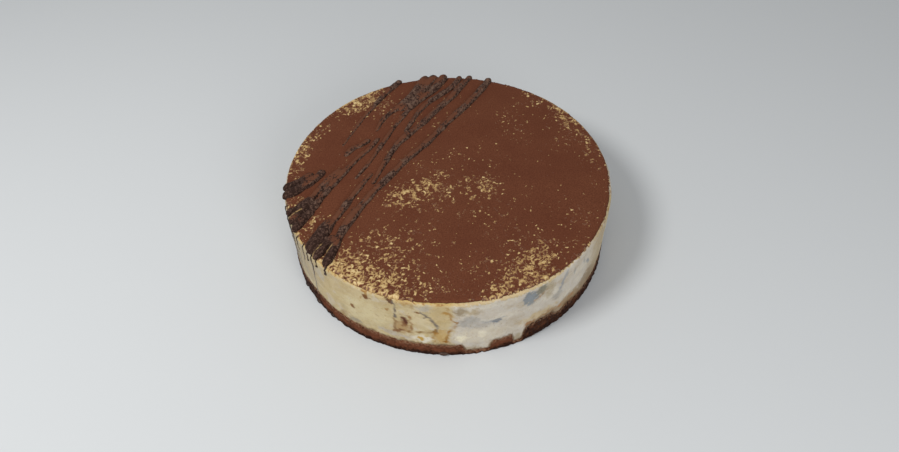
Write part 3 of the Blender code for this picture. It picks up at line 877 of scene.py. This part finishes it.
def make_flecks():
    """Cream that shows through the cocoa: closed low islands."""
    edge = COCOA_EDGE + FLECK_OVERRUN
    count = int(2 * edge / FLECK_PITCH)
    line = (np.arange(count) - 0.5 * (count - 1)) * FLECK_PITCH
    x, y = np.meshgrid(line, line)
    points = np.c_[x.ravel(), y.ravel(), np.zeros(x.size)]
    inside = np.hypot(points[:, 0], points[:, 1]) < edge
    level = np.full(len(points), -1.0)
    level[inside] = fleck_level(points[inside]) + FLECK_MARGIN
    grid = level.reshape(count, count)
    corner_levels = np.sort((grid[:-1, :-1], grid[:-1, 1:], grid[1:, :-1], grid[1:, 1:]), axis=0)
    rows, columns = np.nonzero(corner_levels[2] > 0)  # two of the four corners show
    corners = (rows * count + columns)[:, None] + (0, 1, count + 1, count)
    used, cells = np.unique(corners, return_inverse=True)
    cells = cells.reshape(corners.shape)
    top = points[used]
    top[:, 2] = CAKE_HEIGHT + cocoa_level(top) + FLECK_RISE * np.clip(level[used], -1, 1)
    beyond = np.maximum(np.hypot(top[:, 0], top[:, 1]) - FLECK_BEND_START, 0)
    top[:, 2] -= beyond ** 2 / FLECK_BEND
    bottom = top - (0, 0, FLECK_DEPTH)
    faces = cells.tolist() + (cells[:, ::-1] + len(used)).tolist() + island_walls(cells, len(used))
    obj = new_piece("flecks", np.vstack((top, bottom)), faces, bare_cream_material())
    set_values(obj, "bare", np.tile(np.clip(level[used], 0, 1.2), 2))


# ---- chocolate strands
STRAND_STEP = 1.2 * MM
TUBE_SIDES = 14
TIP = 0.3 * MM  # how much of a strand's rounded end is cut off
TIP_LENGTH = 1.2  # of the radius: how far an end's rounding reaches
STRAND_VOXEL = 0.6 * MM
STRAND_DEPTH = 1.1 * MM  # how far a strand reaches into the cocoa, at most
STRANDS_HANG = CAKE_RADIUS - 3 * MM  # from here outwards
GRAIN_SIZE, GRAIN_DEPTH = 1.5 * MM, 0.1 * MM
PIT_SIZE, PIT_DEPTH = 1.6 * MM, 0.12 * MM
DUST_AND_LIGHT_FROM = np.array((-0.32, 0.26, 0.91))  # the side of the strands where the dust lies, tilted to the left and back as painted light; the flanks facing away keep a painted shade
FINGER_GAPS = (  # mm, seen from above: where cream shows between the fingers at the left rim
    ((-103.3, -37.9), (-109.4, -44.7), (-113.0, -49.0)),
    ((-85.1, -70.3), (-89.3, -77.3), (-91.5, -81.0)),
    ((-78.0, -71.1), (-84.6, -82.8), (-86.5, -86.5)),
)


def smooth_route(points, spacing):
    """Points about this far apart on a Catmull-Rom curve through the given ones."""
    ends = [2 * points[0] - points[1], *points, 2 * points[-1] - points[-2]]
    route = []
    for before, here, there, after in zip(ends, ends[1:], ends[2:], ends[3:]):
        count = max(1, round((there - here).length / spacing))
        for step in range(count):
            t = step / count
            route.append(0.5 * (2 * here + (there - before) * t
                                + (2 * before - 5 * here + 4 * there - after) * t ** 2
                                + (3 * here - before - 3 * there + after) * t ** 3))
    return [*route, points[-1]]


def draped(point, radius):
    """Where a strand's centre lies over this point of its flat route: on the cocoa, or down the wall."""
    reach = point.length
    level = CAKE_HEIGHT - max(STRAND_SINK * radius, radius - STRAND_HEIGHT)
    bend = RIM_BEND * radius
    bend_start = CAKE_RADIUS + WALL_STANDOFF * radius - bend
    overrun = reach - bend_start
    if overrun <= 0:
        return Vector((point.x, point.y, level))
    turn = min(overrun / bend, 0.5 * pi)
    outward = bend_start + bend * sin(turn)
    down = bend * (1 - cos(turn)) + overrun - turn * bend
    return Vector((point.x / reach * outward, point.y / reach * outward, level - down))


def sweep(centres, radii, points, faces):
    """Adds a tube along these centres, with flat caps."""
    first = len(points)
    for i, (centre, radius) in enumerate(zip(centres, radii)):
        ahead = (centres[min(i + 1, len(centres) - 1)] - centres[max(i - 1, 0)]).normalized()
        side = ahead.cross(Vector((0, 0, 1)))
        side = side.normalized() if side.length > 0.2 else Vector((-centre.y, centre.x, 0)).normalized()
        over = side.cross(ahead)
        for j in range(TUBE_SIDES):
            turn = tau * j / TUBE_SIDES
            points.append(centre + radius * (cos(turn) * side + sin(turn) * over))
    for i in range(len(centres) - 1):
        for j in range(TUBE_SIDES):
            a, b = first + i * TUBE_SIDES + j, first + i * TUBE_SIDES + (j + 1) % TUBE_SIDES
            faces.append((a, b, b + TUBE_SIDES, a + TUBE_SIDES))
    last = first + (len(centres) - 1) * TUBE_SIDES
    faces.append(tuple(first + j for j in reversed(range(TUBE_SIDES))))
    faces.append(tuple(last + j for j in range(TUBE_SIDES)))


def strand_tube(strand):
    """The centres of a strand's tube, and its radius at each."""
    flat = smooth_route([Vector((x * MM, y * MM)) for x, y in strand.route], STRAND_STEP)
    centres, radii = [], []
    for i, point in enumerate(flat):
        share = i / (len(flat) - 1)
        radius = (strand.start_radius + (strand.end_radius - strand.start_radius) * share) * MM
        radius *= 1 + STRAND_LUMPS * noise.noise(Vector((point.x, point.y, radius)) / LUMP_LENGTH)
        to_end = min(i, len(flat) - 1 - i) * STRAND_STEP
        centres.append(draped(point, radius))
        radii.append(radius * sqrt(min(1, (to_end + TIP) / (TIP_LENGTH * radius))))
    return centres, radii


def make_strands():
    """The chocolate strands, lumpy and rough, as one skin."""
    points, faces = [], []
    for strand in STRANDS:
        sweep(*strand_tube(strand), points, faces)
    for point in points:
        if point.xy.length < STRANDS_HANG:
            point.z = max(point.z, CAKE_HEIGHT - STRAND_DEPTH)
    obj = new_piece("strands", points, faces, chocolate_material())
    remesh = obj.modifiers.new("Skin", "REMESH")
    remesh.mode = "VOXEL"
    remesh.voxel_size = STRAND_VOXEL
    graph = bpy.context.evaluated_depsgraph_get()
    mesh = bpy.data.meshes.new_from_object(obj.evaluated_get(graph))
    obj.modifiers.clear()
    obj.data = mesh
    roughen(obj)
    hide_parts("cocoa_top")


def vertex_vectors(mesh, name):
    """A vector of each point of the mesh, such as its place."""
    values = np.empty(3 * len(mesh.vertices))
    mesh.vertices.foreach_get(name, values)
    return values.reshape(-1, 3)


def roughen(obj):
    """Pushes the skin in and out into grains, and stores what its colours follow."""
    mesh = obj.data
    places = vertex_vectors(mesh, "co")
    normals = vertex_vectors(mesh, "normal")
    grains = field(places, GRAIN_SIZE, 84)
    pits = ease(field(places, PIT_SIZE, 88) + 0.3 * field(places, 0.5 * PIT_SIZE, 89), 0.08, 0.35)
    push = 0.2 * MM * field(places, 3 * MM, 80) + GRAIN_DEPTH * grains - PIT_DEPTH * pits
    places += normals * push[:, None]
    mesh.vertices.foreach_set("co", places.ravel())
    mesh.shade_smooth()
    x, y = places[:, 0] / MM, places[:, 1] / MM
    left_rim = ease(np.hypot(x, y), 88, 114) * (y < 20)
    set_values(obj, "high", 0.72 + 0.7 * grains - 0.6 * pits - 0.5 * left_rim)
    behind = ease(y, 40, 80)
    dust = 0.9 + 1.3 * field(places, 12 * MM, 90) - 0.5 * pits - 1.1 * left_rim - 0.4 * behind
    # partly real dust, partly painted light: the dust follows the normals turned to the upper left and
    # back, so the right and front flanks stay dark as painted shade
    set_values(obj, "dust_and_lit_side", ease(normals @ DUST_AND_LIGHT_FROM, 0.25, 0.7) * dust)
    across = np.min([distance_to_route(x, y, gap) for gap in FINGER_GAPS], axis=0)
    across = across + 0.7 * field(places, 2 * MM, 92) + 0.4 * field(places, 5 * MM, 94)
    set_values(obj, "gap", 0.85 * (1 - ease(abs(across), 0.2, 0.8)) * (1 - 0.8 * pits))


# ---- syrup on the wall
class Drip(NamedTuple):
    """A thin thread of syrup that has run over the rim and down the wall."""

    angle: float  # degrees
    foot: float  # mm above the floor
    drift: float  # degrees that it moves on its way down
    radius: float  # mm at its top


class Bead(NamedTuple):
    """A drop of syrup on the wall."""

    angle: float  # degrees
    height: float  # mm
    half_length: float  # mm
    radius: float  # mm


DRIPS = [Drip(*row) for row in (
    (-140, 2, -1.8, 0.55), (-142.6, 46, -0.5, 0.60), (-137.4, 50, 0, 0.75), (-133, 50, 0.2, 0.95),
    (-145.5, 40, -0.7, 0.45), (-150, 27, -1, 0.55), (-153.5, 14, -0.6, 0.60),
    (-157, 22, -0.8, 0.55), (-160.5, 33, -0.5, 0.60), (-165, 18, 0.7, 0.55), (109, 36, 0.6, 0.55),
    (101.5, 22, -0.8, 0.50), (97, 45, 0.4, 0.60),
)]
BEADS = [Bead(*row) for row in (
    (-142, 2.4, 3, 1.5), (-134, 2.2, 2.6, 1.4), (-151, 2.4, 2.6, 1.4), (-92.5, 2, 3.4, 1.6),
    (100.8, 2.6, 3, 1.6), (148, 2.4, 2.8, 1.5),
)]
DRIP_STEP = 1 * MM
DRIP_START = 0.4 * MM  # under the cocoa's surface
DRIP_TAPER = 0.45  # share of its radius that a drip loses on its way down
DRIP_END = 1.5, 1.7, 0.9  # how its last three rings swell
BEAD_RINGS = 17
BEAD_STANDOFF = 0.6 * MM


def on_wall(angle, height, proud):
    """The point this far out from the cream's wall."""
    radius = CAKE_RADIUS + WALL_WOBBLE * ring_noise(angle, WALL_WAVES, WALL_ROW) + proud
    return Vector((radius * cos(angle), radius * sin(angle), height))


def drip_tube(number, drip):
    """The centres of a drip's tube, from the top down, and its radius at each."""
    length = CAKE_HEIGHT - drip.foot * MM
    count = int(length / DRIP_STEP)
    centres, radii = [], []
    for i in range(count + 1):
        share = i / count
        sway = 0.5 * noise.noise(Vector((10 * share, number, 0.5)))
        lumps = 0.25 * noise.noise(Vector((14 * share, number, 4.5)))
        over_rim = RIM_ROUNDING * (1 - ease(share * length, 0, RIM_ROUNDING))
        angle = radians(drip.angle + drip.drift * share + sway)
        height = CAKE_HEIGHT - DRIP_START - share * (length - DRIP_START)
        centres.append(on_wall(angle, height, -over_rim))
        radii.append(drip.radius * MM * (1 - DRIP_TAPER * share) * (1 + lumps))
    neck = radii[-len(DRIP_END) - 1]
    radii[-len(DRIP_END):] = [swell * neck for swell in DRIP_END]
    return centres, radii


def bead_tube(bead):
    """The same for a bead, along the wall."""
    centres, radii = [], []
    for i in range(BEAD_RINGS):
        across = cos(pi * (i + 0.5) / BEAD_RINGS)
        angle = radians(bead.angle) + across * bead.half_length * MM / CAKE_RADIUS
        centres.append(on_wall(angle, bead.height * MM, BEAD_STANDOFF))
        radii.append(bead.radius * MM * sqrt(1 - across * across))
    return centres, radii


def make_syrup():
    """Threads of syrup down the wall, and drops of it at the foot."""
    points, faces = [], []
    for number, drip in enumerate(DRIPS):
        sweep(*drip_tube(number, drip), points, faces)
    first_bead = len(points)
    for bead in BEADS:
        sweep(*bead_tube(bead), points, faces)
    obj = new_piece("syrup", points, faces, syrup_material())
    heights = np.array([point.z for point in points])
    in_bead = np.arange(len(points)) >= first_bead
    # painted highlight: the threads turn grey below 52 mm, fully below 32 mm; the beads get none
    set_values(obj, "painted_highlight", np.where(in_bead, 0, 1 - ease(heights, 32 * MM, 52 * MM)))


# ---- stage, light and camera
FLOOR_RADIUS = 5
FLOOR_SIDES = 96
SKY_STRENGTH = 0.42
LIT_POINT = Vector((0, 0, 0.03))


def make_floor():
    """A wide pale disc under the cake."""
    mesh = bpy.data.meshes.new("floor")
    turns = ring_angles(FLOOR_SIDES)
    rim = [(FLOOR_RADIUS * cos(turn), FLOOR_RADIUS * sin(turn), 0) for turn in turns]
    mesh.from_pydata(rim, [], [tuple(range(FLOOR_SIDES))])
    made, _, shader = new_material("floor", 0.9, 0.2)
    feed(shader, {"Base Color": "c9cdd0"})
    mesh.materials.append(made)
    floor = new_object("floor", mesh)


def area_light(name, place, size, power, colour):
    """A round lamp that shines at the cake."""
    light = bpy.data.lights.new(name, "AREA")
    light.shape = "DISK"
    light.size = size
    light.energy = power
    light.color = colour
    obj = new_object(name, light)
    obj.location = place
    obj.rotation_euler = (LIT_POINT - Vector(place)).to_track_quat("-Z", "Y").to_euler()


def make_lights():
    """Even white light, a key light from high on the left and a weaker one in front."""
    world = bpy.data.worlds.new("studio")
    bpy.context.scene.world = world
    world.use_nodes = True
    feed(world.node_tree.nodes["Background"], {"Color": "ffffff", "Strength": SKY_STRENGTH})
    area_light("key", (-0.66, -0.38, 0.94), 0.35, 8.4, (1, 0.98, 0.95))
    area_light("front", (0.45, -0.95, 0.55), 0.6, 4.8, (1, 0.98, 0.96))


def make_camera():
    """The camera of the photograph, over the cake's front."""
    camera = bpy.data.cameras.new("camera")
    camera.sensor_width = SENSOR_WIDTH
    camera.lens = FOCAL_LENGTH / PHOTO_WIDTH * SENSOR_WIDTH
    tilt = Matrix.Rotation(0.5 * pi - CAMERA_ELEVATION, 4, "X") @ Matrix.Rotation(CAMERA_ROLL, 4, "Z")
    obj = new_object("camera", camera)
    obj.matrix_world = Matrix.Translation(LOOK_AT) @ tilt @ Matrix.Translation((0, 0, CAMERA_DISTANCE))
    bpy.context.scene.camera = obj


make_sponge()
make_cream()
make_cocoa()
make_flecks()
make_strands()
make_syrup()
make_floor()
make_lights()
make_camera()
bpy.context.scene.view_settings.view_transform = "Standard"
